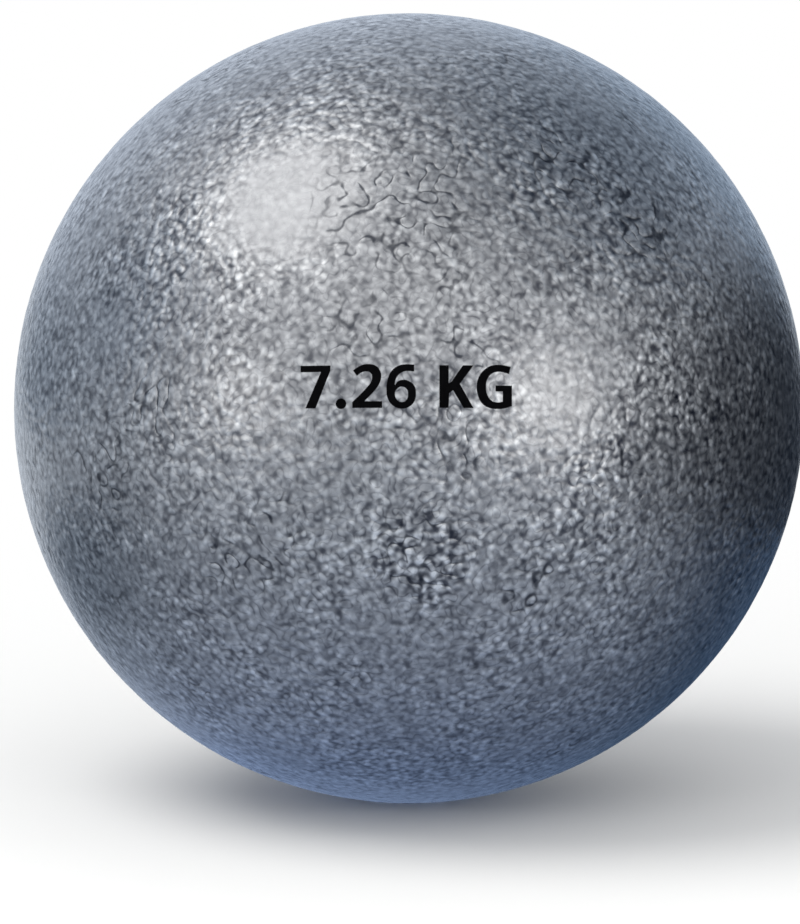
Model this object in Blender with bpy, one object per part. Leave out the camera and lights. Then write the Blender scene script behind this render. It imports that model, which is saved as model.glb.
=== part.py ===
"""Shot put of 7.26 kg: a turned cast-iron ball, trimmed to its mass by lead discs behind a screwed plug.

The origin is the ball's centre, +Z is up, and the plug's axis is +Y, which points out of the ball.
Each turned piece is drawn along its own +Z, and hangs on the plug_axis empty, which turns +Z to +Y.
Lengths are in metres, and heights are measured from the ball's centre along the plug's axis.
"""

import math

import bmesh
import bpy

# The ball
BALL_DIAMETER = 0.125

# The plug: a socket screw whose collar reaches past its thread all round, and is turned with the ball
THREAD_DIAMETER = 0.024
THREAD_PITCH = 0.003
SHANK_LENGTH = 0.020
UNTHREADED_LENGTH = 0.003
COLLAR_REACH = 0.003
COLLAR_EDGE_THICKNESS = 0.004
SOCKET_ACROSS_FLATS = 0.012
SOCKET_DEPTH = 0.008

# The seal ring under the collar
SEAL_THICKNESS = 0.002

# What lies in the chamber: a cork packing disc over discs punched from lead sheet
PACKING_THICKNESS = 0.006
LEAD_THICKNESS = 0.002
LEAD_COUNT = 6

# Chamfers and the drill's point
MOUTH_CHAMFER = 0.0005
COLLAR_CHAMFER = 0.0003
NOSE_CHAMFER = 0.0012
SOCKET_CHAMFER = 0.0004
SEAL_CHAMFER = 0.0002
PACKING_CHAMFER = 0.0005
LEAD_CHAMFER = 0.0003
DRILL_POINT_ANGLE = math.radians(118)

# Clearances: between faces that rest on each other, around pieces in their bores, and between threads
SEAT_GAP = 0.0003
BORE_GAP = 0.0003
THREAD_GAP = 0.0003

# The metric thread: its flanks' angle, its depths as shares of the sharp triangle's height, and its
# crest's flat as a share of the pitch. It fades out over half a turn
FLANK_ANGLE = math.radians(30)
INTERNAL_DEPTH_SHARE = 5 / 8
EXTERNAL_DEPTH_SHARE = 17 / 24
CREST_FLAT_SHARE = 1 / 8
RUNOUT_TURNS = 0.5

# How finely round shapes are divided, and how far a cutter or a joined ridge reaches past a surface
BALL_SEGMENTS = 72
TURNED_SEGMENTS = 36
COLLAR_FACE_STEPS = 6
OVERRUN = 0.001
RIDGE_SINK = 0.0002

# Radii and heights that follow from the sizes above
BALL_RADIUS = BALL_DIAMETER / 2
THREAD_RADIUS = THREAD_DIAMETER / 2
COLLAR_RADIUS = THREAD_RADIUS + COLLAR_REACH
COUNTERBORE_RADIUS = COLLAR_RADIUS + BORE_GAP
SHARP_THREAD_HEIGHT = THREAD_PITCH / 2 / math.tan(FLANK_ANGLE)
CHAMBER_RADIUS = THREAD_RADIUS - INTERNAL_DEPTH_SHARE * SHARP_THREAD_HEIGHT
PLUG_CREST_RADIUS = THREAD_RADIUS - THREAD_GAP
PLUG_CORE_RADIUS = PLUG_CREST_RADIUS - EXTERNAL_DEPTH_SHARE * SHARP_THREAD_HEIGHT
DISC_RADIUS = CHAMBER_RADIUS - BORE_GAP
RING_BORE_RADIUS = THREAD_RADIUS + BORE_GAP
SOCKET_CORNER_RADIUS = SOCKET_ACROSS_FLATS / math.sqrt(3)


def height_on_ball(radius):
    """Height of the ball's surface at a radius from the plug's axis."""
    return math.sqrt(BALL_RADIUS**2 - radius**2)


COLLAR_UNDERSIDE = height_on_ball(COLLAR_RADIUS) - COLLAR_EDGE_THICKNESS
SEAL_UNDERSIDE = COLLAR_UNDERSIDE - SEAT_GAP - SEAL_THICKNESS
SEAT_HEIGHT = SEAL_UNDERSIDE - SEAT_GAP
NOSE_HEIGHT = COLLAR_UNDERSIDE - SHANK_LENGTH
PACKING_UNDERSIDE = NOSE_HEIGHT - SEAT_GAP - PACKING_THICKNESS
CHAMBER_FLOOR = PACKING_UNDERSIDE - SEAT_GAP - LEAD_COUNT * (LEAD_THICKNESS + SEAT_GAP)


def clear_scene():
    """Removes whatever the file opened with."""
    for obj in list(bpy.data.objects):
        bpy.data.objects.remove(obj)


def finish(name, colour, metallic, roughness):
    """A material of one colour."""
    made = bpy.data.materials.new(name)
    made.use_nodes = True
    shader = made.node_tree.nodes["Principled BSDF"]
    shader.inputs["Base Color"].default_value = (*colour, 1.0)
    shader.inputs["Metallic"].default_value = metallic
    shader.inputs["Roughness"].default_value = roughness
    return made


def add_object(name, bm, axis, height):
    """An object from a bmesh, at a height on the plug's axis. Faces are turned outwards and shaded smooth."""
    bmesh.ops.recalc_face_normals(bm, faces=bm.faces)
    mesh = bpy.data.meshes.new(name)
    bm.to_mesh(mesh)
    bm.free()
    mesh.shade_smooth()
    mesh.set_sharp_from_angle(angle=math.radians(30))
    obj = bpy.data.objects.new(name, mesh)
    bpy.context.scene.collection.objects.link(obj)
    obj.parent = axis
    obj.location = (0, 0, height)
    return obj


def turned(name, profile, axis, height, ring=False):
    """A turned solid. The profile's (radius, height) points end on the axis, or close on themselves in a ring."""
    bm = bmesh.new()
    points = [bm.verts.new((radius, 0, along)) for radius, along in profile]
    ends = zip(points, points[1:] + points[:1] if ring else points[1:])
    lines = [bm.edges.new(pair) for pair in ends]
    bmesh.ops.spin(
        bm, geom=points + lines, axis=(0, 0, 1), angle=math.tau, steps=TURNED_SEGMENTS, use_merge=True
    )
    bmesh.ops.remove_doubles(bm, verts=bm.verts, dist=1e-7)
    return add_object(name, bm, axis, height)


def disc(name, radius, thickness, chamfer, axis, height):
    """A flat disc with chamfered edges, whose origin is on its underside."""
    profile = [
        (0, 0),
        (radius - chamfer, 0),
        (radius, chamfer),
        (radius, thickness - chamfer),
        (radius - chamfer, thickness),
        (0, thickness),
    ]
    return turned(name, profile, axis, height)


def thread_ridge(name, core, crest, bottom, top, axis, height, fade_top):
    """A helical bar with a thread's section, sunk a little into its core. Heights are from the thread's datum.

    It fades into the core at its bottom end, and at its top end too where fade_top says so. Its corners
    lie half a step round from the turned surfaces' corners, so that none of them meet.
    """
    root = core - RIDGE_SINK
    first = round(bottom / THREAD_PITCH * TURNED_SEGMENTS)
    last = round(top / THREAD_PITCH * TURNED_SEGMENTS)
    fade_steps = RUNOUT_TURNS * TURNED_SEGMENTS
    half_flat = CREST_FLAT_SHARE * THREAD_PITCH / 2
    bm = bmesh.new()
    sections = []
    for step in range(first, last + 1):
        share = min(1, (step - first) / fade_steps)
        if fade_top:
            share = min(share, (last - step) / fade_steps)
        tip = root + RIDGE_SINK / 2 + (crest - root - RIDGE_SINK / 2) * share
        half_root = half_flat + (crest - root) * math.tan(FLANK_ANGLE)
        half_tip = half_flat + (crest - tip) * math.tan(FLANK_ANGLE)
        angle = math.tau * (step + 1 / 2) / TURNED_SEGMENTS
        middle = THREAD_PITCH * step / TURNED_SEGMENTS
        section = [(root, -half_root), (tip, -half_tip), (tip, half_tip), (root, half_root)]
        sections.append(
            [bm.verts.new((r * math.cos(angle), r * math.sin(angle), middle + h)) for r, h in section]
        )
    for here, after in zip(sections, sections[1:]):
        for side in range(4):
            neighbour = (side + 1) % 4
            bm.faces.new((here[side], here[neighbour], after[neighbour], after[side]))
    bm.faces.new(sections[0])
    bm.faces.new(sections[-1])
    return as_tool(add_object(name, bm, axis, height))


def as_tool(obj):
    """Marks an object as a helper of a Boolean, which is no part of the shot."""
    obj.hide_render = True
    obj.display_type = "WIRE"
    return obj


def combine(obj, tool, operation):
    """Cuts a tool from an object, or joins it on."""
    boolean = obj.modifiers.new(tool.name, "BOOLEAN")
    boolean.operation = operation
    boolean.solver = "EXACT"
    boolean.object = tool


def iron_ball(axis):
    """The casting: a sphere, counterbored for the collar, drilled as the chamber and tapped for the plug."""
    bm = bmesh.new()
    bmesh.ops.create_uvsphere(bm, u_segments=BALL_SEGMENTS, v_segments=BALL_SEGMENTS // 2, radius=BALL_RADIUS)
    ball = add_object("iron_ball", bm, axis, 0)
    edge = height_on_ball(COUNTERBORE_RADIUS)
    flare = OVERRUN + MOUTH_CHAMFER
    cut = [
        (0, BALL_RADIUS + OVERRUN),
        (COUNTERBORE_RADIUS + flare, BALL_RADIUS + OVERRUN),
        (COUNTERBORE_RADIUS + flare, edge + OVERRUN),
        (COUNTERBORE_RADIUS, edge - MOUTH_CHAMFER),
        (COUNTERBORE_RADIUS, SEAT_HEIGHT),
        (RING_BORE_RADIUS, SEAT_HEIGHT),
        (CHAMBER_RADIUS, SEAT_HEIGHT - RING_BORE_RADIUS + CHAMBER_RADIUS),
        (CHAMBER_RADIUS, CHAMBER_FLOOR),
        (0, CHAMBER_FLOOR - CHAMBER_RADIUS / math.tan(DRILL_POINT_ANGLE / 2)),
    ]
    combine(ball, as_tool(turned("chamber_cutter", cut, axis, 0)), "DIFFERENCE")
    groove_bottom = NOSE_HEIGHT - COLLAR_UNDERSIDE - THREAD_PITCH
    groove_top = SEAT_HEIGHT - COLLAR_UNDERSIDE + THREAD_PITCH
    tap = thread_ridge(
        "tap", CHAMBER_RADIUS, THREAD_RADIUS, groove_bottom, groove_top, axis, COLLAR_UNDERSIDE, False
    )
    combine(ball, tap, "DIFFERENCE")
    return ball


def screw_plug(axis):
    """The plug: a collar whose face follows the ball, a threaded shank, and a hexagon socket."""
    face_radius = COLLAR_RADIUS - COLLAR_CHAMFER
    face_radii = [face_radius * step / COLLAR_FACE_STEPS for step in range(COLLAR_FACE_STEPS + 1)]
    face = [(radius, height_on_ball(radius) - COLLAR_UNDERSIDE) for radius in face_radii]
    profile = [
        *face,
        (COLLAR_RADIUS, height_on_ball(face_radius) - COLLAR_CHAMFER - COLLAR_UNDERSIDE),
        (COLLAR_RADIUS, 0),
        (PLUG_CORE_RADIUS, 0),
        (PLUG_CORE_RADIUS, NOSE_CHAMFER - SHANK_LENGTH),
        (PLUG_CORE_RADIUS - NOSE_CHAMFER, -SHANK_LENGTH),
        (0, -SHANK_LENGTH),
    ]
    plug = turned("screw_plug", profile, axis, COLLAR_UNDERSIDE)
    ridge_bottom = NOSE_CHAMFER - SHANK_LENGTH + THREAD_PITCH / 2
    ridge_top = -UNTHREADED_LENGTH - THREAD_PITCH / 2
    ridge = thread_ridge(
        "plug_thread",
        PLUG_CORE_RADIUS,
        PLUG_CREST_RADIUS,
        ridge_bottom,
        ridge_top,
        axis,
        COLLAR_UNDERSIDE,
        True,
    )
    combine(plug, ridge, "UNION")
    combine(plug, socket_cutter(axis), "DIFFERENCE")
    combine(plug, socket_countersink(axis), "DIFFERENCE")
    return plug


def socket_cutter(axis):
    """The hexagon that the key's socket is broached to, from above the collar down to the socket's floor."""
    length = SOCKET_DEPTH + OVERRUN
    bm = bmesh.new()
    bmesh.ops.create_cone(
        bm,
        cap_ends=True,
        segments=6,
        radius1=SOCKET_CORNER_RADIUS,
        radius2=SOCKET_CORNER_RADIUS,
        depth=length,
    )
    middle = BALL_RADIUS - SOCKET_DEPTH + length / 2
    return as_tool(add_object("socket_cutter", bm, axis, middle))


def socket_countersink(axis):
    """The cone that breaks the socket's edge."""
    wide = SOCKET_CORNER_RADIUS + SOCKET_CHAMFER
    mouth = height_on_ball(wide)
    cone = [
        (0, mouth + OVERRUN),
        (wide + OVERRUN, mouth + OVERRUN),
        (0, mouth - wide),
    ]
    return as_tool(turned("socket_countersink", cone, axis, 0))


def seal_ring(axis):
    """The flat soft ring between the collar and its seat."""
    inner = RING_BORE_RADIUS
    outer = COLLAR_RADIUS
    top = SEAL_THICKNESS
    profile = [
        (inner, 0),
        (outer - SEAL_CHAMFER, 0),
        (outer, SEAL_CHAMFER),
        (outer, top - SEAL_CHAMFER),
        (outer - SEAL_CHAMFER, top),
        (inner, top),
    ]
    return turned("seal_ring", profile, axis, SEAL_UNDERSIDE, ring=True)


def main():
    clear_scene()
    axis = bpy.data.objects.new("plug_axis", None)
    bpy.context.scene.collection.objects.link(axis)
    axis.rotation_euler = (math.radians(-90), 0, 0)

    painted_iron = finish("painted_iron", (0.26, 0.28, 0.31), 0.8, 0.35)
    bright_steel = finish("bright_steel", (0.56, 0.57, 0.58), 1.0, 0.3)
    copper = finish("copper", (0.72, 0.36, 0.24), 1.0, 0.35)
    cork = finish("cork", (0.42, 0.27, 0.16), 0.0, 0.9)
    lead = finish("lead", (0.22, 0.23, 0.25), 0.9, 0.6)

    iron_ball(axis).data.materials.append(painted_iron)
    screw_plug(axis).data.materials.append(bright_steel)
    seal_ring(axis).data.materials.append(copper)
    packing = disc(
        "packing_disc", DISC_RADIUS, PACKING_THICKNESS, PACKING_CHAMFER, axis, PACKING_UNDERSIDE
    )
    packing.data.materials.append(cork)
    for number in range(1, LEAD_COUNT + 1):
        underside = PACKING_UNDERSIDE - number * (LEAD_THICKNESS + SEAT_GAP)
        slug = disc(f"lead_disc_{number}", DISC_RADIUS, LEAD_THICKNESS, LEAD_CHAMFER, axis, underside)
        slug.data.materials.append(lead)


main()
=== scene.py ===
import math

import bmesh
import bpy
from mathutils import Matrix, Vector
from mathutils.bvhtree import BVHTree


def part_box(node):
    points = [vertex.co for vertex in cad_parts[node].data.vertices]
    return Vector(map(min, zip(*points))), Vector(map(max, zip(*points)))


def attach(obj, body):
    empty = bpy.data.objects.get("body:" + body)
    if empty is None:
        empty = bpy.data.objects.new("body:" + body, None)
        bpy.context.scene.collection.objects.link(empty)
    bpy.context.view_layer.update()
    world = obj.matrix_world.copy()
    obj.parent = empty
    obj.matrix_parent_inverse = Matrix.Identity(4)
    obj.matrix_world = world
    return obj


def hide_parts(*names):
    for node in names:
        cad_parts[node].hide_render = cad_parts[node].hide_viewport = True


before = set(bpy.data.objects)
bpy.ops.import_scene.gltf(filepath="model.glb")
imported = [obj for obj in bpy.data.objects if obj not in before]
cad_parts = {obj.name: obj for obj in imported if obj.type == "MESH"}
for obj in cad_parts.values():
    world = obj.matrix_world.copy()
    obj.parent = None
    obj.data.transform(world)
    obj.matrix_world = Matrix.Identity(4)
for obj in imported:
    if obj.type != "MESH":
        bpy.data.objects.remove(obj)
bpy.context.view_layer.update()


# The iron ball. It is a grey-iron casting, turned to a sphere, then counterbored, drilled and tapped
# from one side for the plug. Its outside is sprayed with silver-grey hammertone paint, which dries
# into fine glossy grains, with dark creases between them in places; the bore stays bare.
ball_low, ball_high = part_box("iron_ball")
ring_low, ring_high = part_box("seal_ring")
packing_low, packing_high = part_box("packing_disc")
last_disc_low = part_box("lead_disc_6")[0]
ball_radius = (ball_high.x - ball_low.x) / 2
collar_radius = ring_high.x
collar_overhang = 0.003
seat_gap = 0.0003
bore_gap = 0.0003
thread_radius = collar_radius - collar_overhang
thread_pitch = 0.003
flank_angle = math.radians(30)
crest_flat = thread_pitch / 8
chamber_radius = packing_high.x + bore_gap
counterbore_radius = collar_radius + bore_gap
ring_bore_radius = thread_radius + bore_gap
mouth_chamfer = 0.0005
collar_underside = ring_high.y + seat_gap
seat_height = ring_low.y - seat_gap
chamber_floor = last_disc_low.y - seat_gap
drill_point_angle = math.radians(118)

skin_subdivisions = 5
skin_cuts = 5
turning_steps = 144
tap_steps_per_turn = 36
merge_distance = 1e-7
cutter_reach = 0.002
ridge_sink = 0.0002

resin_colour = (0.008, 0.011, 0.023, 1)
flake_colour = (0.520, 0.526, 0.540, 1)
# The creases' colour stands partly for dark resin and partly for painted shade in their hollows.
crease_resin_and_shade_colour = (0.012, 0.015, 0.024, 1)
coat_tint = (0.97, 0.985, 1.0, 1)
graphite_colour = (0.10, 0.10, 0.105, 1)
graphite_roughness = 0.55
iron_colour = (0.36, 0.36, 0.37, 1)
iron_roughness = 0.36
flecks_per_metre = 2600
fleck_span = (0.35, 0.6)
bore_rings_per_metre = 9000
bore_ring_depth = 0.00002

# How far the paint's pebbles and waves lift the skin, and how wide the rims round the plug are on which
# they are missing and fade in.
pebble_lift = 0.00003
wave_lift = 0.00008
flat_rim = 0.0006
fading_rim = 0.003

# How many of the paint's forms there are to a metre. They are tilted, so that the grid that the noises
# are made on doesn't line up with the ball.
paint_tilt = (0.6, 0.5, 0.8)
pebbles_per_metre = 400
waves_per_metre = 210
beads_per_metre = 910
fine_grains_per_metre = 985
soft_grains_per_metre = 565
small_creases_per_metre = 775
crease_breaks_per_metre = 420
creased_patches_per_metre = 60
calm_patches_per_metre = 85
roughness_per_metre = 900
coat_roughness_per_metre = 700

# What a swell is made of, how ragged it makes the creases, how deep and wide those are, and how far they
# raise the grains between them, as levels of the noises.
bead_share = 0.18
bead_softness = 0.35
fine_grain_share = 0.42
soft_grain_share = 0.24
least_swell = 0.10
raggedness = 0.24
small_crease_depth = 0.15
small_crease_rise = 0.05
crease_width = 0.075
# How far the creases go to their colour, partly dark resin and partly painted shade.
crease_resin_and_shade_share = 0.85

# The two levels of its noise between which each form goes from nothing to whole. The calm patches go from
# one strength of the grains to another.
bead_span = (0.75, 0.05)
small_crease_span = (0.14, -0.04)
pebble_span = (0.0, 0.2)
crease_break_span = (0.36, 0.50)
creased_patch_span = (0.56, 0.70)
calm_patch_span = (0.32, 0.68)
calm_patch_strengths = (0.78, 1.22)

# How the grains turn into flakes and resin, how glossy those are, where the clear coat is thin, and what
# the bump is made of.
grain_contrast = 1.12
middle_flake = 0.62
flake_power = 2.2
paint_roughness = 0.46
coat_roughness = 0.22
roughness_spread = 0.10
coat_index = 1.6
coat_on_resin = 0.7
fully_coated_flakes = 0.35
coat_lost_in_creases = 0.6
pebble_bump = 0.35
swell_bump = 1.5
crease_bump = 0.40
bump_depth = 0.0001

# Places on the front where the paint dried unlike the rest. Each has a centre, the radius inside which it
# is whole, the radius at which it is gone, its creases from 0 to 1, and its grains' strength, which is 1
# elsewhere.
paint_spots = (
    ((-0.0188, -0.0456, 0.0384), 0.005, 0.014, 0.0, 0.24),
    ((-0.0022, -0.0496, 0.0379), 0.007, 0.016, 1.0, 0.72),
    ((0.0429, -0.0441, 0.0107), 0.008, 0.022, 0.1, 1.45),
    ((0.0018, -0.0610, -0.0133), 0.004, 0.011, 1.0, 1.55),
    ((0.0239, -0.0565, 0.0117), 0.005, 0.012, 0.0, 0.70),
    ((0.0287, -0.0551, -0.0069), 0.005, 0.014, 0.1, 1.45),
    ((-0.0378, -0.0390, 0.0308), 0.006, 0.016, 0.2, 1.20),
    ((-0.0054, -0.0391, 0.0484), 0.004, 0.011, 0.3, 1.25),
    ((0.0239, -0.0427, 0.0389), 0.006, 0.018, 0.1, 1.15),
    ((0.0241, -0.0387, 0.0427), 0.004, 0.010, 1.0, 1.00),
    ((0.0354, -0.0390, 0.0336), 0.004, 0.010, 1.0, 1.00),
    ((-0.0065, -0.0586, 0.0208), 0.003, 0.010, 0.9, 0.72),
)


class Bench:
    """Short ways to add nodes to one node tree and to join them."""

    def __init__(self, tree):
        self.tree = tree

    def add(self, kind, **settings):
        node = self.tree.nodes.new(kind)
        for name, value in settings.items():
            setattr(node, name, value)
        return node

    def put(self, socket, value):
        if isinstance(value, bpy.types.NodeSocket):
            self.tree.links.new(value, socket)
        else:
            socket.default_value = value

    def fill(self, node, values):
        """Puts values on a node's inputs by their names."""
        for name, value in values.items():
            self.put(node.inputs[name], value)
        return node

    def math(self, operation, *values, clamp=False):
        node = self.add("ShaderNodeMath", operation=operation, use_clamp=clamp)
        for socket, value in zip(node.inputs, values):
            self.put(socket, value)
        return node.outputs[0]

    def vector(self, operation, *values):
        node = self.add("ShaderNodeVectorMath", operation=operation)
        for socket, value in zip(node.inputs, values):
            self.put(socket, value)
        return node

    def ramp(self, value, low, high, to_low=0.0, to_high=1.0):
        """A smooth step of a value, from one level at its low end to another at its high end."""
        node = self.add("ShaderNodeMapRange", interpolation_type="SMOOTHSTEP")
        ends = {"From Min": low, "From Max": high, "To Min": to_low, "To Max": to_high}
        return self.fill(node, {"Value": value, **ends}).outputs["Result"]

    def noise(self, place, scale, detail=1.0, output="Fac"):
        node = self.add("ShaderNodeTexNoise")
        return self.fill(node, {"Vector": place, "Scale": scale, "Detail": detail}).outputs[output]

    def off_middle(self, noise):
        """How far a noise is from its middle level, which it crosses at the edges of its lobes."""
        return self.math("ABSOLUTE", self.math("SUBTRACT", noise, 0.5))

    def bent(self, place, scale, reach):
        """The place, pushed about by a noise."""
        push = self.noise(place, scale, output="Color")
        return self.vector("MULTIPLY_ADD", push, (reach, reach, reach), place).outputs[0]

    def mix(self, factor, first, second):
        node = self.add("ShaderNodeMix", data_type="RGBA")
        self.put(node.inputs["Factor"], factor)
        self.put(node.inputs[6], first)
        self.put(node.inputs[7], second)
        return node.outputs[2]

    def from_axis(self, place):
        """Distance from the plug's axis."""
        flat = self.vector("MULTIPLY", place, (1.0, 0.0, 1.0)).outputs[0]
        return self.vector("LENGTH", flat).outputs["Value"]

    def bump(self, height, depth, shader, strength=1.0):
        node = self.add("ShaderNodeBump")
        node.inputs["Strength"].default_value = strength
        node.inputs["Distance"].default_value = depth
        self.put(node.inputs["Height"], height)
        self.put(shader.inputs["Normal"], node.outputs["Normal"])


def new_finish(name):
    """A material, its bench, its shader and the place on the piece."""
    made = bpy.data.materials.new(name)
    made.use_nodes = True
    bench = Bench(made.node_tree)
    place = bench.add("ShaderNodeTexCoord").outputs["Object"]
    return made, bench, made.node_tree.nodes["Principled BSDF"], place


def paint_relief(bench, place):
    """The dried paint's forms: the swells of its flakes, the grains that small creases make of them, how
    strong both are from place to place, wide pebbles, the creases round the pebbles, and slow waves.
    """
    turn = bench.add("ShaderNodeVectorRotate", rotation_type="EULER_XYZ")
    tilted = bench.fill(turn, {"Vector": place, "Rotation": paint_tilt}).outputs[0]
    lobe_place = bench.bent(tilted, scale=330, reach=0.0006)
    lobes = bench.noise(lobe_place, pebbles_per_metre, detail=0)
    lobe_walls = bench.off_middle(lobes)
    beads = bench.add("ShaderNodeTexVoronoi", feature="SMOOTH_F1")
    bead_place = bench.bent(tilted, scale=500, reach=0.0004)
    bench.fill(beads, {"Vector": bead_place, "Scale": beads_per_metre, "Smoothness": bead_softness})
    domes = bench.ramp(beads.outputs["Distance"], *bead_span)
    swells = bench.math("MULTIPLY_ADD", domes, bead_share, least_swell)
    for per_metre, share in (
        (fine_grains_per_metre, fine_grain_share),
        (soft_grains_per_metre, soft_grain_share),
    ):
        swells = bench.math("MULTIPLY_ADD", bench.noise(tilted, per_metre, detail=0), share, swells)
    jitter = bench.math("MULTIPLY_ADD", swells, raggedness, -raggedness / 2)
    small_lobe_place = bench.bent(tilted, scale=700, reach=0.0003)
    small_lobes = bench.noise(small_lobe_place, small_creases_per_metre, detail=0)
    small_walls = bench.math("ADD", bench.off_middle(small_lobes), jitter)
    small_walls = bench.ramp(small_walls, *small_crease_span)
    raised = bench.math("ADD", swells, small_crease_rise)
    grains = bench.math("MULTIPLY_ADD", small_walls, -small_crease_depth, raised)
    walls = bench.ramp(bench.math("MULTIPLY_ADD", jitter, 0.5, lobe_walls), crease_width, 0.0)
    breaks = bench.ramp(bench.noise(tilted, crease_breaks_per_metre, detail=0), *crease_break_span)
    patches = bench.ramp(bench.noise(place, creased_patches_per_metre, detail=2), *creased_patch_span)
    calm_noise = bench.noise(tilted, calm_patches_per_metre, detail=2)
    calm = bench.ramp(calm_noise, *calm_patch_span, *calm_patch_strengths)
    for centre, inner, outer, creased, level in paint_spots:
        away = bench.vector("DISTANCE", place, centre).outputs["Value"]
        calm = bench.math("MULTIPLY", bench.ramp(away, inner, outer, level, 1.0), calm)
        patches = bench.ramp(away, inner, outer, creased, patches)
    return {
        "grains": grains,
        "swells": swells,
        "calm": calm,
        "pebbles": bench.ramp(lobe_walls, *pebble_span),
        "creases": bench.math("MULTIPLY", walls, bench.math("MULTIPLY", breaks, patches)),
        "waves": bench.noise(place, waves_per_metre, detail=2),
    }


def hammertone_paint():
    """Aluminium flakes in grey resin under a clear glossy coat. It is bright where the flakes lie thick, and
    dark where the resin shows. The creases are darker still: partly dark resin, and partly painted shade in
    their hollows.
    """
    made, bench, shader, place = new_finish("hammertone_paint")
    relief = paint_relief(bench, place)
    contrast = bench.math("MULTIPLY", relief["calm"], grain_contrast)
    flakes = bench.math("SUBTRACT", relief["grains"], 0.5)
    flakes = bench.math("MULTIPLY_ADD", flakes, contrast, middle_flake, clamp=True)
    flakes = bench.math("POWER", flakes, flake_power)
    colour = bench.mix(flakes, resin_colour, flake_colour)
    # The creases darken the colour: partly dark resin, partly painted shade in the hollows.
    colour = bench.mix(bench.math("MULTIPLY", relief["creases"], crease_resin_and_shade_share), colour, crease_resin_and_shade_colour)
    bench.put(shader.inputs["Base Color"], colour)
    shader.inputs["Metallic"].default_value = 1.0
    for name, per_metre, least in (
        ("Roughness", roughness_per_metre, paint_roughness),
        ("Coat Roughness", coat_roughness_per_metre, coat_roughness),
    ):
        roughness = bench.math("MULTIPLY_ADD", bench.noise(place, per_metre), roughness_spread, least)
        bench.put(shader.inputs[name], roughness)
    thick = bench.ramp(flakes, 0.0, fully_coated_flakes, to_low=coat_on_resin, to_high=1.0)
    coat = bench.math("MULTIPLY_ADD", relief["creases"], -coat_lost_in_creases, thick, clamp=True)
    bench.put(shader.inputs["Coat Weight"], coat)
    shader.inputs["Coat IOR"].default_value = coat_index
    shader.inputs["Coat Tint"].default_value = coat_tint
    height = bench.math("MULTIPLY", relief["pebbles"], pebble_bump)
    height = bench.math("MULTIPLY_ADD", relief["swells"], swell_bump, height)
    height = bench.math("MULTIPLY", height, relief["calm"])
    height = bench.math("MULTIPLY_ADD", relief["creases"], -crease_bump, height)
    bench.bump(height, bump_depth, shader)
    bench.put(shader.inputs["Coat Normal"], shader.inputs["Normal"].links[0].from_socket)
    return made


def two_states(bench, shader, share, colours, roughnesses):
    """A surface that goes from its first colour and roughness to its second by a share."""
    bench.put(shader.inputs["Base Color"], bench.mix(share, *colours))
    bench.put(shader.inputs["Roughness"], bench.ramp(share, 0.0, 1.0, *roughnesses))


def turned_iron():
    """Grey iron as the drill and tap leave it: fine rings round the bore, and dark graphite flecks."""
    made, bench, shader, place = new_finish("turned_iron")
    flecks = bench.ramp(bench.noise(place, flecks_per_metre, detail=3), *fleck_span)
    two_states(bench, shader, flecks, (graphite_colour, iron_colour), (graphite_roughness, iron_roughness))
    shader.inputs["Metallic"].default_value = 1.0
    along = bench.vector("MULTIPLY", place, (0.0, 1.0, 0.0)).outputs[0]
    bench.bump(bench.noise(along, bore_rings_per_metre, detail=2), bore_ring_depth, shader, strength=0.6)
    return made


def mesh_object(name, bm, *finishes):
    """An object at the origin from a bmesh, whose place is in its mesh."""
    mesh = bpy.data.meshes.new(name)
    bm.to_mesh(mesh)
    bm.free()
    for finish in finishes:
        mesh.materials.append(finish)
    made = bpy.data.objects.new(name, mesh)
    bpy.context.scene.collection.objects.link(made)
    return made


def finished_mesh(thing):
    """The mesh that an object's modifiers, or a curve's outlines, come to."""
    return bpy.data.meshes.new_from_object(thing.evaluated_get(bpy.context.evaluated_depsgraph_get()))


def worked(name, rough, *tools):
    """The rough object with its modifiers applied. The rough object and its tools go away."""
    made = bpy.data.objects.new(name, finished_mesh(rough))
    bpy.context.scene.collection.objects.link(made)
    for used in (rough, *tools):
        bpy.data.objects.remove(used)
    return made


def combine(rough, tool, operation):
    """Cuts a tool from an object, or joins it on, with the tool's own finish on the new faces."""
    boolean = rough.modifiers.new(tool.name, "BOOLEAN")
    boolean.operation = operation
    boolean.solver = "MANIFOLD"
    boolean.material_mode = "TRANSFER"
    boolean.object = tool


def turned(profile, ring=False, steps=turning_steps):
    """A turned solid, from a profile of radii and of heights along the plug's axis."""
    bm = bmesh.new()
    points = [bm.verts.new((radius, along, 0)) for radius, along in profile]
    ends = zip(points, points[1:] + points[:1] if ring else points[1:])
    lines = [bm.edges.new(pair) for pair in ends]
    bmesh.ops.spin(
        bm, geom=points + lines, cent=(0, 0, 0), axis=(0, 1, 0), angle=math.tau, steps=steps, use_merge=True
    )
    bmesh.ops.remove_doubles(bm, verts=bm.verts, dist=merge_distance)
    bmesh.ops.recalc_face_normals(bm, faces=bm.faces)
    for face in bm.faces:
        face.smooth = True
    return bm


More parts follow.
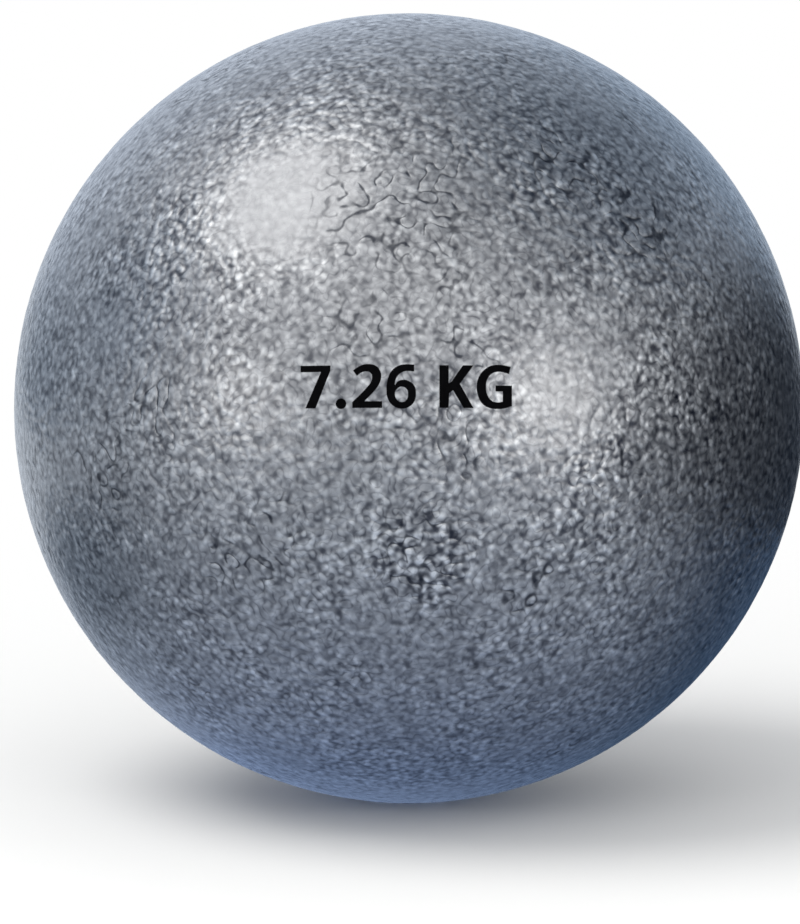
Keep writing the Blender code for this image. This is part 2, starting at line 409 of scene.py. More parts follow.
def thread_ridge(core, crest, bottom, top, fade_top, steps_per_turn):
    """A right-handed helical bar with a thread's section, which fades into its core at its lower end and,
    where fade_top is set, at its upper end.
    """
    root = core - ridge_sink
    half_tip = crest_flat / 2
    half_root = half_tip + (crest - root) * math.tan(flank_angle)
    turns = (top - bottom) / thread_pitch
    steps = round(turns * steps_per_turn)
    fade_length = thread_pitch / 2
    bm = bmesh.new()
    section = ((root, -half_root), (crest, -half_tip), (crest, half_tip), (root, half_root))
    points = [bm.verts.new((radius, along, 0)) for radius, along in section]
    lines = [bm.edges.new(pair) for pair in zip(points, points[1:] + points[:1])]
    start = Matrix.Translation((0, bottom, 0)) @ Matrix.Rotation(
        math.tau * (bottom - collar_underside) / thread_pitch, 4, "Y"
    )
    bmesh.ops.transform(bm, matrix=start, verts=points)
    bmesh.ops.spin(
        bm,
        geom=points + lines,
        cent=(0, 0, 0),
        axis=(0, 1, 0),
        dvec=(0, turns * thread_pitch / steps, 0),
        angle=math.tau * turns,
        steps=steps,
    )
    bmesh.ops.holes_fill(bm, edges=bm.edges, sides=4)
    for vert in bm.verts:
        radius = math.hypot(vert.co.x, vert.co.z)
        if radius > root + ridge_sink:
            share = (vert.co.y - bottom + half_tip) / fade_length
            if fade_top:
                share = min(share, (top + half_tip - vert.co.y) / fade_length)
            faded = root + ridge_sink / 2 + (crest - root - ridge_sink / 2) * min(1, max(0, share))
            vert.co.x *= faded / radius
            vert.co.z *= faded / radius
    bmesh.ops.recalc_face_normals(bm, faces=bm.faces)
    for face in bm.faces:
        face.smooth = True
    return bm


def on_ball(radius):
    """Height of the ball's surface along the plug's axis, at a radius from that axis."""
    return math.sqrt(ball_radius**2 - radius**2)


def sprayed(rough):
    """Lifts a ball's skin by the paint's waves and pebbles, except on the rim round the plug."""
    tree = bpy.data.node_groups.new("sprayed_paint", "GeometryNodeTree")
    for way in ("INPUT", "OUTPUT"):
        tree.interface.new_socket("Geometry", in_out=way, socket_type="NodeSocketGeometry")
    bench = Bench(tree)
    place = bench.add("GeometryNodeInputPosition").outputs[0]
    relief = paint_relief(bench, place)
    lift = bench.math("MULTIPLY", relief["pebbles"], pebble_lift)
    lift = bench.math("MULTIPLY_ADD", relief["waves"], wave_lift, lift)
    off_rim = bench.ramp(bench.from_axis(place), collar_radius + flat_rim, collar_radius + fading_rim)
    along = bench.vector("DOT_PRODUCT", place, (0.0, 1.0, 0.0)).outputs["Value"]
    front = bench.math("LESS_THAN", along, 0.0)
    lift = bench.math("MULTIPLY", lift, bench.math("MAXIMUM", off_rim, front))
    outwards = bench.vector("NORMALIZE", place).outputs[0]
    offset = bench.vector("SCALE", outwards)
    bench.put(offset.inputs["Scale"], lift)
    moved = bench.add("GeometryNodeSetPosition")
    bench.put(moved.inputs["Geometry"], bench.add("NodeGroupInput").outputs[0])
    bench.put(moved.inputs["Offset"], offset.outputs[0])
    bench.put(bench.add("NodeGroupOutput").inputs[0], moved.outputs[0])
    rough.modifiers.new("sprayed_paint", "NODES").node_group = tree


paint = hammertone_paint()
bare_iron = turned_iron()

skin = bmesh.new()
bmesh.ops.create_icosphere(skin, subdivisions=skin_subdivisions, radius=ball_radius)
bmesh.ops.subdivide_edges(skin, edges=skin.edges, cuts=skin_cuts, use_grid_fill=True)
for vert in skin.verts:
    vert.co = vert.co.normalized() * ball_radius
for face in skin.faces:
    face.smooth = True
rough_ball = mesh_object("rough_ball", skin, paint)
sprayed(rough_ball)

mouth = on_ball(counterbore_radius)
flare_radius = counterbore_radius + mouth_chamfer + cutter_reach
bore_profile = [
    (0, ball_radius + cutter_reach),
    (flare_radius, ball_radius + cutter_reach),
    (flare_radius, mouth + cutter_reach),
    (counterbore_radius, mouth - mouth_chamfer),
    (counterbore_radius, seat_height),
    (ring_bore_radius, seat_height),
    (chamber_radius, seat_height - ring_bore_radius + chamber_radius),
    (chamber_radius, chamber_floor),
    (0, chamber_floor - chamber_radius / math.tan(drill_point_angle / 2)),
]
drill = mesh_object("drill", turned(bore_profile), bare_iron)
combine(rough_ball, drill, "DIFFERENCE")
tap_bottom = packing_high.y + seat_gap - thread_pitch
tap_top = seat_height + thread_pitch
tap_ridge = thread_ridge(chamber_radius, thread_radius, tap_bottom, tap_top, False, tap_steps_per_turn)
tap = mesh_object("tap", tap_ridge, bare_iron)
combine(rough_ball, tap, "DIFFERENCE")

ball = worked("painted_ball", rough_ball, drill, tap)
ball.data.set_sharp_from_angle(angle=math.radians(35))
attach(ball, "ball")
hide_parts("iron_ball")


# The lead discs. They are punched from sheet, with a rounded upper edge where the punch drew it in
# and a small burr below, and dropped into the chamber until the ball has its exact mass.
disc_count = 6
disc_radius = packing_high.x
disc_steps = 96
lead_edge = 0.0003
lead_burr = 0.00008
edge_points = 5
lead_colour = (0.17, 0.18, 0.20, 1)
lead_roughness = 0.42
bloom_colour = (0.33, 0.34, 0.35, 1)
bloom_roughness = 0.68
bloom_patches_per_metre = 240
bloom_span = (0.42, 0.68)
dents_per_metre = 380
dent_share = 0.8
lead_scratch_stretch = (4200.0, 1.0, 300.0)
lead_scratch_share = 0.2
lead_bump_depth = 0.00012


def lead_finish():
    """Dull blue-grey lead sheet, with soft dents, scratches and a pale bloom."""
    made, bench, shader, place = new_finish("lead_sheet")
    bloom = bench.ramp(bench.noise(place, bloom_patches_per_metre, detail=4), *bloom_span)
    two_states(bench, shader, bloom, (lead_colour, bloom_colour), (lead_roughness, bloom_roughness))
    shader.inputs["Metallic"].default_value = 0.9
    dents = bench.math("MULTIPLY", bench.noise(place, dents_per_metre, detail=2), dent_share)
    drawn_out = bench.vector("MULTIPLY", place, lead_scratch_stretch).outputs[0]
    scratches = bench.noise(drawn_out, scale=1, detail=2)
    height = bench.math("MULTIPLY_ADD", scratches, lead_scratch_share, dents)
    bench.bump(height, lead_bump_depth, shader)
    return made


lead = lead_finish()
for number in range(1, disc_count + 1):
    low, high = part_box(f"lead_disc_{number}")
    profile = [(0, low.y), (disc_radius - 2 * lead_burr, low.y + lead_burr / 2), (disc_radius, low.y)]
    for step in range(edge_points + 1):
        turn = math.pi / 2 * step / edge_points
        profile.append(
            (
                disc_radius - lead_edge + lead_edge * math.cos(turn),
                high.y - lead_edge + lead_edge * math.sin(turn),
            )
        )
    profile.append((0, high.y))
    slug = turned(profile, steps=disc_steps)
    disc = mesh_object(f"punched_lead_{number}", slug, lead)
    disc.data.set_sharp_from_angle(angle=math.radians(30))
    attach(disc, "ball")
    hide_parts(f"lead_disc_{number}")


# The packing disc. It is cut from pressed cork sheet and lies on the lead discs, where the plug's nose
# presses on it, so that they can't rattle.
cork_edge = 0.0005
cork_grains_per_metre = 620
tone_weights = (0.5, 0.3, 0.2)
pale_grain_colour = (0.58, 0.40, 0.23, 1)
pale_grain_roughness = 0.8
dark_grain_colour = (0.30, 0.17, 0.08, 1)
dark_grain_roughness = 0.95
seam_width = 0.10
seam_darkness = 0.6
bark_colour = (0.09, 0.045, 0.02, 1)
bark_patches_per_metre = 900
bark_span = (0.60, 0.68)
pores_per_metre = 2400
pore_share = 0.5
cork_bump_depth = 0.00012

# A rounded edge's middle lies this share of its radius in from the corner, both ways.
edge_middle = 0.3


def cork_finish():
    """Pressed cork: crushed brown grains of mixed tone, with dark bark between some of them."""
    made, bench, shader, place = new_finish("pressed_cork")
    crushed = bench.bent(place, scale=700, reach=0.0008)
    grains = bench.add("ShaderNodeTexVoronoi")
    edges = bench.add("ShaderNodeTexVoronoi", feature="DISTANCE_TO_EDGE")
    for cells in (grains, edges):
        bench.fill(cells, {"Vector": crushed, "Scale": cork_grains_per_metre})
    tone = bench.vector("DOT_PRODUCT", grains.outputs["Color"], tone_weights).outputs["Value"]
    body = bench.mix(tone, dark_grain_colour, pale_grain_colour)
    seams = bench.ramp(edges.outputs["Distance"], seam_width, 0.0)
    bark = bench.ramp(bench.noise(place, bark_patches_per_metre, detail=3), *bark_span)
    dark = bench.math("MAXIMUM", bench.math("MULTIPLY", seams, seam_darkness), bark)
    bench.put(shader.inputs["Base Color"], bench.mix(dark, body, bark_colour))
    roughness = bench.ramp(tone, 0.0, 1.0, to_low=dark_grain_roughness, to_high=pale_grain_roughness)
    bench.put(shader.inputs["Roughness"], roughness)
    pores = bench.noise(place, pores_per_metre, detail=3)
    height = bench.math("MULTIPLY_ADD", pores, pore_share, bench.math("SUBTRACT", 1.0, dark))
    bench.bump(height, cork_bump_depth, shader)
    return made


profile = [
    (0, packing_low.y),
    (disc_radius - cork_edge, packing_low.y),
    (disc_radius - cork_edge * edge_middle, packing_low.y + cork_edge * edge_middle),
    (disc_radius, packing_low.y + cork_edge),
    (disc_radius, packing_high.y - cork_edge),
    (disc_radius - cork_edge * edge_middle, packing_high.y - cork_edge * edge_middle),
    (disc_radius - cork_edge, packing_high.y),
    (0, packing_high.y),
]
cork = turned(profile, steps=disc_steps)
packing = mesh_object("cork_packing", cork, cork_finish())
packing.data.set_sharp_from_angle(angle=math.radians(50))
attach(packing, "ball")
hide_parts("packing_disc")


# The seal ring. It is a flat ring of soft copper that lies on the seat in the counterbore, and the
# plug's collar squeezes it.
seal_edge = 0.0002
seal_corner_steps = 3
copper_colour = (0.76, 0.38, 0.25, 1)
copper_roughness = 0.26
tarnish_colour = (0.38, 0.19, 0.13, 1)
tarnish_roughness = 0.48
tarnish_patches_per_metre = 260
tarnish_span = (0.40, 0.70)
copper_rings_per_metre = 7000
copper_ring_depth = 0.00002


def copper_finish():
    """Soft turned copper with a brown tarnish in patches."""
    made, bench, shader, place = new_finish("soft_copper")
    tarnish = bench.ramp(bench.noise(place, tarnish_patches_per_metre, detail=4), *tarnish_span)
    two_states(bench, shader, tarnish, (copper_colour, tarnish_colour), (copper_roughness, tarnish_roughness))
    shader.inputs["Metallic"].default_value = 1.0
    rings = bench.add("ShaderNodeCombineXYZ")
    bench.put(rings.inputs["X"], bench.from_axis(place))
    grooves = bench.noise(rings.outputs[0], copper_rings_per_metre, detail=2)
    bench.bump(grooves, copper_ring_depth, shader, strength=0.7)
    return made


profile = []
for corner_radius, corner_height, start in (
    (collar_radius - seal_edge, ring_low.y + seal_edge, -90),
    (collar_radius - seal_edge, ring_high.y - seal_edge, 0),
    (ring_bore_radius + seal_edge / 2, ring_high.y - seal_edge / 2, 90),
    (ring_bore_radius + seal_edge / 2, ring_low.y + seal_edge / 2, 180),
):
    size = seal_edge if start < 90 else seal_edge / 2
    for step in range(seal_corner_steps + 1):
        turn = math.radians(start + 90 / seal_corner_steps * step)
        profile.append((corner_radius + size * math.cos(turn), corner_height + size * math.sin(turn)))
copper = turned(profile, ring=True)
seal = mesh_object("copper_seal", copper, copper_finish())
seal.data.set_sharp_from_angle(angle=math.radians(40))
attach(seal, "ring")
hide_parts("seal_ring")


# The screw plug. It is turned from steel bar: a collar, a threaded shank and a hexagon socket for the
# key. With the plug screwed home, its face is turned flush with the ball, which leaves fine rings.
nose_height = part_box("screw_plug")[0].y
collar_chamfer = 0.0003
collar_back_chamfer = 0.0002
shank_fillet = 0.0004
nose_chamfer = 0.0012
undercut_length = 0.003
face_steps = 12
thread_gap = 0.0003
thread_steps_per_turn = 96
sharp_thread_height = thread_pitch / 2 / math.tan(flank_angle)
thread_depth = 17 / 24 * sharp_thread_height
crest_radius = thread_radius - thread_gap
core_radius = crest_radius - thread_depth
socket_across_flats = 0.012
socket_depth = 0.008
socket_chamfer = 0.0004
socket_corner_radius = socket_across_flats / math.sqrt(3)
socket_floor = ball_radius - socket_depth
steel_colour = (0.56, 0.57, 0.58, 1)
stain_colour = (0.40, 0.39, 0.37, 1)
stain_patches_per_metre = 190
stain_span = (0.45, 0.72)
steel_roughness = 0.16
steel_roughness_spread = 0.22
lathe_rings_per_metre = 5200
lathe_ring_depth = 0.000025
steel_scratch_stretch = (900.0, 900.0, 60.0)
steel_scratch_span = (0.62, 0.70)
steel_scratch_share = 0.4


def steel_finish():
    """Bright steel with the fine rings of the lathe, a few scratches and faint staining."""
    made, bench, shader, place = new_finish("turned_steel")
    stain = bench.ramp(bench.noise(place, stain_patches_per_metre, detail=4), *stain_span)
    bench.put(shader.inputs["Base Color"], bench.mix(stain, steel_colour, stain_colour))
    rings = bench.add("ShaderNodeCombineXYZ")
    bench.put(rings.inputs["X"], bench.from_axis(place))
    bench.put(rings.inputs["Y"], bench.vector("DOT_PRODUCT", place, (0.0, 1.0, 0.0)).outputs["Value"])
    grooves = bench.noise(rings.outputs[0], lathe_rings_per_metre, detail=3)
    roughness = bench.math("MULTIPLY_ADD", grooves, steel_roughness_spread, steel_roughness)
    bench.put(shader.inputs["Roughness"], roughness)
    shader.inputs["Metallic"].default_value = 1.0
    drawn_out = bench.vector("MULTIPLY", place, steel_scratch_stretch).outputs[0]
    scratches = bench.ramp(bench.noise(drawn_out, scale=3, detail=2), *steel_scratch_span)
    height = bench.math("MULTIPLY_ADD", scratches, -steel_scratch_share, grooves)
    bench.bump(height, lathe_ring_depth, shader, strength=0.8)
    return made


face_radius = collar_radius - collar_chamfer
face_radii = [face_radius * step / face_steps for step in range(face_steps + 1)]
profile = [(radius, on_ball(radius)) for radius in face_radii]
profile += [
    (collar_radius - collar_chamfer * edge_middle, on_ball(face_radius) - collar_chamfer * edge_middle),
    (collar_radius, on_ball(face_radius) - collar_chamfer),
    (collar_radius, collar_underside + collar_back_chamfer),
    (collar_radius - collar_back_chamfer, collar_underside),
    (core_radius + shank_fillet, collar_underside),
    (core_radius, collar_underside - shank_fillet),
    (core_radius, nose_height + nose_chamfer),
    (core_radius - nose_chamfer, nose_height),
    (0, nose_height),
]
steel = steel_finish()
plug_body = turned(profile)
rough_plug = mesh_object("rough_plug", plug_body, steel)
ridge_bottom = nose_height + nose_chamfer + thread_pitch / 2
ridge_top = collar_underside - undercut_length - thread_pitch / 2
thread = thread_ridge(core_radius, crest_radius, ridge_bottom, ridge_top, True, thread_steps_per_turn)
ridge = mesh_object("ridge", thread, steel)
combine(rough_plug, ridge, "UNION")
hexagon = bmesh.new()
broach_length = socket_depth + cutter_reach
bmesh.ops.create_cone(
    hexagon,
    cap_ends=True,
    segments=6,
    radius1=socket_corner_radius,
    radius2=socket_corner_radius,
    depth=broach_length,
)
laid_along = Matrix.Rotation(math.radians(-90), 4, "X")
broach_place = Matrix.Translation((0, socket_floor + broach_length / 2, 0)) @ laid_along
bmesh.ops.transform(hexagon, matrix=broach_place, verts=hexagon.verts)
broach = mesh_object("broach", hexagon, steel)
combine(rough_plug, broach, "DIFFERENCE")
wide = socket_corner_radius + socket_chamfer
countersink_top = on_ball(wide) + cutter_reach
countersink_profile = [
    (0, countersink_top),
    (wide + cutter_reach, countersink_top),
    (0, on_ball(wide) - wide),
]
countersink = mesh_object("countersink", turned(countersink_profile), steel)
combine(rough_plug, countersink, "DIFFERENCE")
plug = worked("turned_plug", rough_plug, ridge, broach, countersink)
plug.data.set_sharp_from_angle(angle=math.radians(25))
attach(plug, "plug")
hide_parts("screw_plug")


# The weight mark. "7.26 KG" is printed in matt black ink across the front of the ball, in plain bold
# figures and capitals, and the ink follows the paint's pebbles.
figure_height = 0.00636
mark_across = -0.0004
mark_elevation = math.radians(11.0)
ink_thickness = 0.00003
ink_step = 0.0003
ink_colour = (0.0004, 0.0004, 0.0006, 1)
ink_roughness = 0.75
worn_ink_colour = (0.0016, 0.0016, 0.0022, 1)
worn_ink_roughness = 0.6
ink_bump_depth = 0.00004
print_distance = 0.1

# Each letter's outlines. A point is its place across and up, in hundredths of a figure's height, and 1
# where the outline goes round it or 0 where it has a corner.
outline_units = 100
mark_width_units = 495.5
mark_width = mark_width_units / outline_units * figure_height
mark_reach = 0.55 * figure_height
letters = [
    [[(0, 100, 0), (70, 100, 0), (70, 88.5, 0), (35, 0, 0), (11.5, 0, 0), (48, 85, 0), (0, 85, 0)]],
    [[(95, 22.5, 1), (107.4, 10.1, 1), (95, -2.3, 1), (82.6, 10.1, 1)]],
    [
        [
            (121.5, 0, 0), (191.3, 0, 0), (191.3, 15.5, 0), (150.4, 15.5, 0), (150.4, 16.9, 0),
            (172.3, 38.8, 1), (184.4, 56, 1), (189.2, 72.7, 1), (186.6, 87, 1), (177.5, 97.8, 1),
            (159.4, 102.8, 1), (141.3, 99.4, 1), (123.2, 87.9, 0), (132.2, 75.3, 0), (143, 83, 1),
            (154.2, 85.6, 1), (164.6, 81.8, 1), (168, 72, 1), (165.4, 61.2, 1), (155.9, 48.2, 1),
            (121.5, 13.5, 0),
        ]
    ],
    [
        [
            (266.4, 101, 0), (266.4, 85.3, 0), (244.6, 85.6, 1), (230.9, 78.4, 1), (222.8, 65.5, 1),
            (220.7, 53.8, 0), (221.7, 53.8, 0), (228.3, 61.7, 1), (242.1, 65.5, 1), (254, 62.4, 1),
            (266.1, 52.6, 1), (270.4, 34.5, 1), (266.1, 13.8, 1), (253.1, 1.7, 1), (238.3, -2, 1),
            (217.9, 4.3, 1), (205, 20.7, 1), (201.6, 43.1, 1), (204.5, 67.2, 1), (215.4, 88.7, 1),
            (231.7, 99.4, 1), (247.2, 102, 1),
        ],
        [
            (236.5, 49.6, 1), (225.7, 43.9, 1), (221.4, 34.8, 1), (224.8, 20.7, 1), (236, 13.3, 1),
            (247.2, 17.2, 1), (252, 31, 1), (248.6, 43.9, 1),
        ],
    ],
    [
        [
            (325.5, 100, 0), (347, 100, 0), (347, 57.2, 0), (353.9, 61.7, 0), (380.6, 100, 0),
            (405.2, 100, 0), (373.2, 56.5, 0), (405.2, 0, 0), (382.3, 0, 0), (357.3, 41.7, 0),
            (348, 34.5, 0), (347, 0, 0), (325.5, 0, 0),
        ]
    ],
    [
        [
            (492.5, 97.3, 0), (479.6, 100.4, 1), (464.1, 102, 1), (446.9, 99.6, 1), (430.5, 89.6, 1),
            (417.6, 72.4, 1), (412.8, 50, 1), (416.4, 27.6, 1), (427.9, 8.6, 1), (444.3, 0, 1),
            (461.5, -1.7, 1), (478.7, 0, 1), (495.5, 5.2, 0), (495.5, 53.4, 0), (457.2, 53.4, 0),
            (457.2, 39.6, 0), (474.1, 39.6, 0), (474.1, 15.5, 0), (462.4, 13.8, 1), (448.6, 17.2, 1),
            (438.3, 30.2, 1), (434.5, 49.1, 1), (438.3, 68.9, 1), (448.6, 81.3, 1), (463.2, 85.8, 1),
            (476.2, 84.4, 1), (488.6, 80.6, 0),
        ]
    ],
]


def ink_finish():
    """Matt black ink, a shade paler where the grains have worn it."""
    made, bench, shader, place = new_finish("black_ink")
    relief = paint_relief(bench, place)
    two_states(
        bench, shader, relief["grains"], (ink_colour, worn_ink_colour), (ink_roughness, worn_ink_roughness)
    )
    shader.inputs["Specular IOR Level"].default_value = 0.02
    bench.bump(relief["pebbles"], ink_bump_depth, shader, strength=0.5)
    return made


outline = bpy.data.curves.new("mark_outline", "CURVE")
outline.dimensions = "2D"
outline.fill_mode = "BOTH"
outline.resolution_u = 6
for letter in letters:
    for loop in letter:
        spline = outline.splines.new("BEZIER")
        spline.bezier_points.add(len(loop) - 1)
        spline.use_cyclic_u = True
        for point, (x, y, is_round) in zip(spline.bezier_points, loop):
            point_across = x / outline_units * figure_height - mark_width / 2
            point_up = y / outline_units * figure_height - figure_height / 2
            point.co = (point_across, point_up, 0)
            point.handle_left_type = point.handle_right_type = "AUTO" if is_round else "VECTOR"
flat_mark = bpy.data.objects.new("flat_mark", outline)
bpy.context.scene.collection.objects.link(flat_mark)
ink = bmesh.new()
ink.from_mesh(finished_mesh(flat_mark))
bpy.data.objects.remove(flat_mark)
bmesh.ops.remove_doubles(ink, verts=ink.verts, dist=merge_distance)
for side, reach in ((0, mark_width / 2), (1, mark_reach)):
    count = int(reach / ink_step)
    for step in range(-count, count + 1):
        cut_place, cut_normal = Vector((0, 0, 0)), Vector((0, 0, 0))
        cut_place[side] = step * ink_step
        cut_normal[side] = 1
        everything = ink.verts[:] + ink.edges[:] + ink.faces[:]
        bmesh.ops.bisect_plane(ink, geom=everything, dist=1e-8, plane_co=cut_place, plane_no=cut_normal)
print_up = Vector((0, math.sin(mark_elevation), math.cos(mark_elevation)))
print_out = Vector((0, -math.cos(mark_elevation), math.sin(mark_elevation)))
painted_surface = BVHTree.FromObject(ball, bpy.context.evaluated_depsgraph_get())
for vert in ink.verts:
    above = print_out * print_distance + Vector((vert.co.x + mark_across, 0, 0)) + print_up * vert.co.y
    hit = painted_surface.ray_cast(above, -print_out)[0]
    vert.co = hit + hit.normalized() * ink_thickness
for face in ink.faces:
    face.smooth = True
sunk = bmesh.ops.extrude_face_region(ink, geom=ink.faces[:])["geom"]
for vert in [item for item in sunk if isinstance(item, bmesh.types.BMVert)]:
    vert.co -= vert.co.normalized() * ink_thickness * 2
bmesh.ops.recalc_face_normals(ink, faces=ink.faces)
weight_mark = mesh_object("weight_mark", ink, ink_finish())
weight_mark.data.set_sharp_from_angle(angle=math.radians(40))
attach(weight_mark, "ball")


# The floor. It is a wide sheet of pale paper under the ball, which keeps the ball's soft shadow and goes over
# into plain white round it. The surroundings are the same white. The ball's gloss sees both with a blue tint,
# and sees the floor as a glow with a painted shadow that darkens it near the ball.
floor_radius = 6.0
floor_steps = 96
floor_colour = (0.86, 0.87, 0.88, 1)
shadow_reach = (0.09, 0.32)
# The painted shadow that the ball's gloss sees on the floor: how wide it is and how fast it fades.
gloss_shadow_radius = 0.07
gloss_shadow_power = 2.3
light_from_surroundings = 0.75
# The floor's glow in gloss: its painted shadow's colour near the ball, and its colour further off.
floor_shadow_in_gloss = (0.31, 0.42, 0.67, 1)
floor_far_in_gloss = (0.88, 0.95, 1.04, 1)
sky_in_gloss = (0.93, 0.95, 0.97, 1)
sky_behind_in_gloss = (0.80, 0.90, 1.06, 1)
sky_behind_from = 0.85


def shows_white(bench):
    """1 for what the camera sees, by itself, in gloss or through glass, and 0 for what only gives light."""
    path = bench.add("ShaderNodeLightPath")
    seen = bench.math("ADD", path.outputs["Is Camera Ray"], path.outputs["Is Glossy Ray"])
    return bench.math("ADD", seen, path.outputs["Is Transmission Ray"], clamp=True)


paper, bench, shader, place = new_finish("floor_paper")
shader.inputs["Base Color"].default_value = floor_colour
shader.inputs["Roughness"].default_value = 0.9
shader.inputs["Specular IOR Level"].default_value = 0.1
from_ball = bench.vector("LENGTH", place).outputs["Value"]
far_off = bench.ramp(from_ball, *shadow_reach)
white = bench.add("ShaderNodeEmission")
both = bench.add("ShaderNodeMixShader")
bench.put(both.inputs["Fac"], bench.math("MULTIPLY", shows_white(bench), far_off))
bench.put(both.inputs[1], shader.outputs[0])
bench.put(both.inputs[2], white.outputs[0])
# In gloss the floor is a glow, darker near the ball: a painted shadow.
painted_shadow_share = bench.math("DIVIDE", gloss_shadow_radius, from_ball)
painted_shadow_share = bench.math("POWER", painted_shadow_share, gloss_shadow_power, clamp=True)
tinted = bench.add("ShaderNodeEmission")
bench.put(tinted.inputs["Color"], bench.mix(painted_shadow_share, floor_far_in_gloss, floor_shadow_in_gloss))
in_gloss = bench.add("ShaderNodeMixShader")
bench.put(in_gloss.inputs["Fac"], bench.add("ShaderNodeLightPath").outputs["Is Glossy Ray"])
bench.put(in_gloss.inputs[1], both.outputs[0])
bench.put(in_gloss.inputs[2], tinted.outputs[0])
bench.put(paper.node_tree.nodes["Material Output"].inputs["Surface"], in_gloss.outputs[0])
sheet = bmesh.new()
bmesh.ops.create_circle(sheet, cap_ends=True, segments=floor_steps, radius=floor_radius)
bmesh.ops.translate(sheet, verts=sheet.verts, vec=(0, 0, -ball_radius))
floor = mesh_object("floor", sheet, paper)

world = bpy.data.worlds.new("surroundings")
bpy.context.scene.world = world
world.use_nodes = True
bench = Bench(world.node_tree)
background = world.node_tree.nodes["Background"]
in_gloss = bench.add("ShaderNodeLightPath").outputs["Is Glossy Ray"]
towards = bench.add("ShaderNodeTexCoord").outputs["Generated"]
behind = bench.vector("DOT_PRODUCT", towards, (0.0, 1.0, 0.0)).outputs["Value"]
sky = bench.mix(bench.ramp(behind, 0.0, sky_behind_from), sky_in_gloss, sky_behind_in_gloss)
bench.put(background.inputs["Color"], bench.mix(in_gloss, (1, 1, 1, 1), sky))
strength = bench.ramp(shows_white(bench), 0.0, 1.0, to_low=light_from_surroundings, to_high=1.0)
bench.put(background.inputs["Strength"], strength)


# The camera. It looks a little down on the ball from a metre away, and the ball sits a little high and
# to the right in its frame.
camera_distance = 1.0
camera_elevation = math.radians(8)
sensor_size = 36
frame_width, frame_height = 800, 924
ball_pixels = 394.5
ball_place_pixels = (408.9, 408.4)
pixels_per_slope = ball_pixels * math.sqrt(camera_distance**2 - ball_radius**2) / ball_radius
right = Vector((1, 0, 0))
up = Vector((0, math.sin(camera_elevation), math.cos(camera_elevation)))
back = Vector((0, -math.cos(camera_elevation), math.sin(camera_elevation)))
camera_data = bpy.data.cameras.new("camera")
camera_data.sensor_width = sensor_size
camera_data.lens = pixels_per_slope * sensor_size / frame_height
camera_data.clip_start = 0.05
camera_data.clip_end = 50
camera = bpy.data.objects.new("camera", camera_data)
bpy.context.scene.collection.objects.link(camera)
per_pixel = camera_distance / pixels_per_slope
aim_across = right * (frame_width / 2 - ball_place_pixels[0]) * per_pixel
aim_up = up * (ball_place_pixels[1] - frame_height / 2) * per_pixel
camera.location = back * camera_distance
camera.rotation_mode = "QUATERNION"
camera.rotation_quaternion = (aim_across + aim_up - camera.location).to_track_quat("-Z", "Y")
bpy.context.scene.camera = camera


# The lights. They are round soft boxes that face the ball and that the camera doesn't see: a large one
# over it at the left, one at the right of the camera, a small one at the left with a large dim one
# below it, and a large dim one over the camera.
light_distance = 1.2
lamp_colour = (1.0, 0.975, 0.93)


def direction_from(seen):
    """The scene's own direction for one given as the camera's right, up and back."""
    return (right * seen[0] + up * seen[1] + back * seen[2]).normalized()


def soft_box(name, seen, radius, level):
    """A soft box in a direction as the camera sees it, as bright as its level."""
    data = bpy.data.lights.new(name, "AREA")
    data.shape = "DISK"
    data.size = radius * 2
    data.energy = level * math.pi * math.pi * radius**2
    data.color = lamp_colour
    made = bpy.data.objects.new(name, data)
    bpy.context.scene.collection.objects.link(made)
    towards = direction_from(seen)
    made.location = towards * light_distance
    made.rotation_mode = "QUATERNION"
    made.rotation_quaternion = towards.to_track_quat("Z", "Y")
    made.visible_camera = False


# Each has a direction to the camera's right, up and back, its radius, and its level.
soft_box("top_light", (-0.490, 0.815, 0.310), 0.45, 3.65)
soft_box("side_light", (0.605, -0.035, 0.795), 0.34, 4.8)
soft_box("left_light", (-0.735, 0.06, 0.664), 0.18, 4.4)
soft_box("low_left_light", (-0.66, -0.08, 0.74), 0.42, 0.7)
soft_box("front_light", (-0.05, 0.48, 0.87), 0.50, 0.9)


# The flags. They are soft-edged sheets that glow dark or dim blue and only show in gloss, where they paint
# dark and blue reflections on the ball, as a photographer's dark sheets keep white off a shiny thing. They
# stand beside, over and behind the ball and lie on the floor, and neither the camera nor diffuse light sees
# them.
flag_steps = 64
floor_flag_height = 0.0005 - ball_radius
pale_blue = (0.70, 0.92, 1.22, 1)
deep_blue = (0.42, 0.82, 1.55, 1)


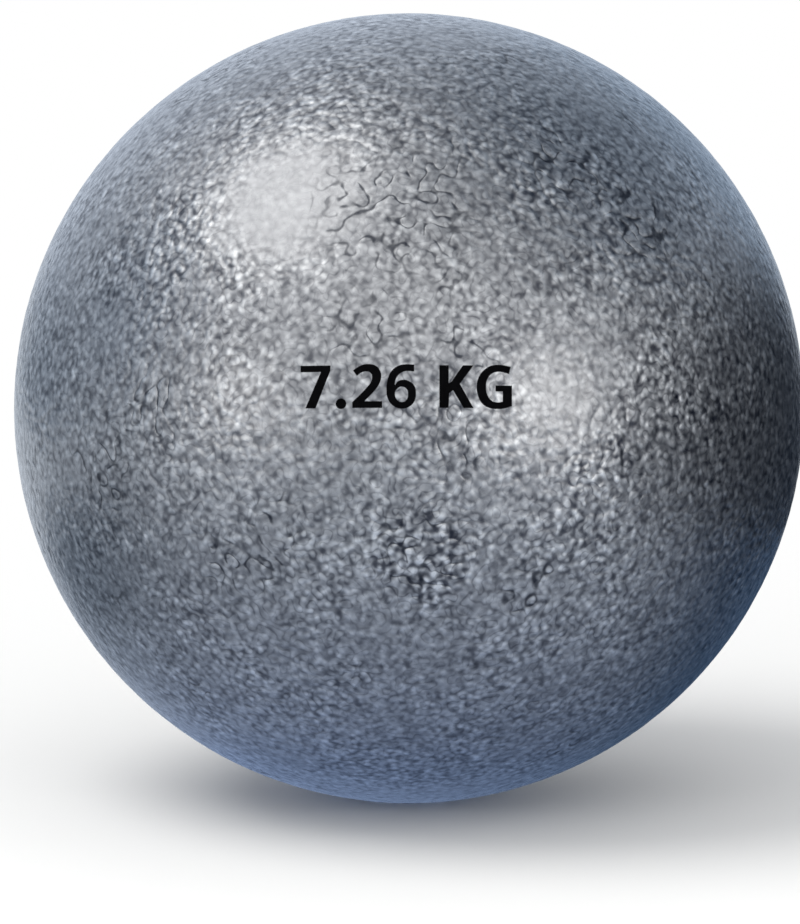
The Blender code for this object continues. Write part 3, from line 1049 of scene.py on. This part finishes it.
def flag(name, centre, facing, radius, core, level, colour):
    """A round flag that glows only in gloss, a painted reflection, whole inside its core and gone at its
    edge, as bright as its level.
    """
    painted_reflection, bench, shader, place = new_finish(name + "_cloth")
    painted_reflection.node_tree.nodes.remove(shader)
    whole = bench.ramp(bench.vector("DISTANCE", place, centre).outputs["Value"], radius, core)
    # The flag's glow, which only the ball's gloss sees: a painted reflection.
    glow = bench.add("ShaderNodeEmission")
    glow.inputs["Color"].default_value = colour
    glow.inputs["Strength"].default_value = level
    both = bench.add("ShaderNodeMixShader")
    bench.put(both.inputs["Fac"], whole)
    bench.put(both.inputs[1], bench.add("ShaderNodeBsdfTransparent").outputs[0])
    bench.put(both.inputs[2], glow.outputs[0])
    bench.put(painted_reflection.node_tree.nodes["Material Output"].inputs["Surface"], both.outputs[0])
    bm = bmesh.new()
    bmesh.ops.create_circle(bm, cap_ends=True, segments=flag_steps, radius=radius)
    turn = facing.to_track_quat("Z", "Y").to_matrix().to_4x4()
    bmesh.ops.transform(bm, matrix=Matrix.Translation(centre) @ turn, verts=bm.verts)
    made = mesh_object(name, bm, painted_reflection)
    made.visible_camera = False
    made.visible_diffuse = False
    made.visible_shadow = False
    made.visible_transmission = False


# These stand in a direction to the camera's right, up and back, at a distance from the ball's middle.
for name, seen, distance, radius, core, level, colour in (
    ("right_flag", (0.81, -0.52, -0.28), 0.16, 0.27, 0.16, 0.02, deep_blue),
    ("left_flag", (-0.80, -0.22, -0.58), 0.5, 0.40, 0.10, 0.34, pale_blue),
    ("upper_left_flag", (-0.92, 0.34, 0.00), 0.6, 0.34, 0.05, 0.62, pale_blue),
    ("upper_right_flag", (0.58, 0.81, -0.10), 1.0, 0.98, 0.25, 0.36, pale_blue),
    ("rear_flag", (0.46, 0.40, -0.79), 0.6, 0.34, 0.05, 0.60, pale_blue),
):
    centre = direction_from(seen) * distance
    flag(name, centre, centre, radius, core, level, colour)

# These lie on the floor.
for name, x, y, radius, core, level, colour in (
    ("floor_flag", 0.10, 0.08, 0.17, 0.08, 0.12, deep_blue),
    ("left_floor_flag", -0.15, 0.02, 0.13, 0.03, 0.25, pale_blue),
):
    flag(name, Vector((x, y, floor_flag_height)), Vector((0, 0, 1)), radius, core, level, colour)

bpy.context.scene.view_settings.view_transform = "Standard"
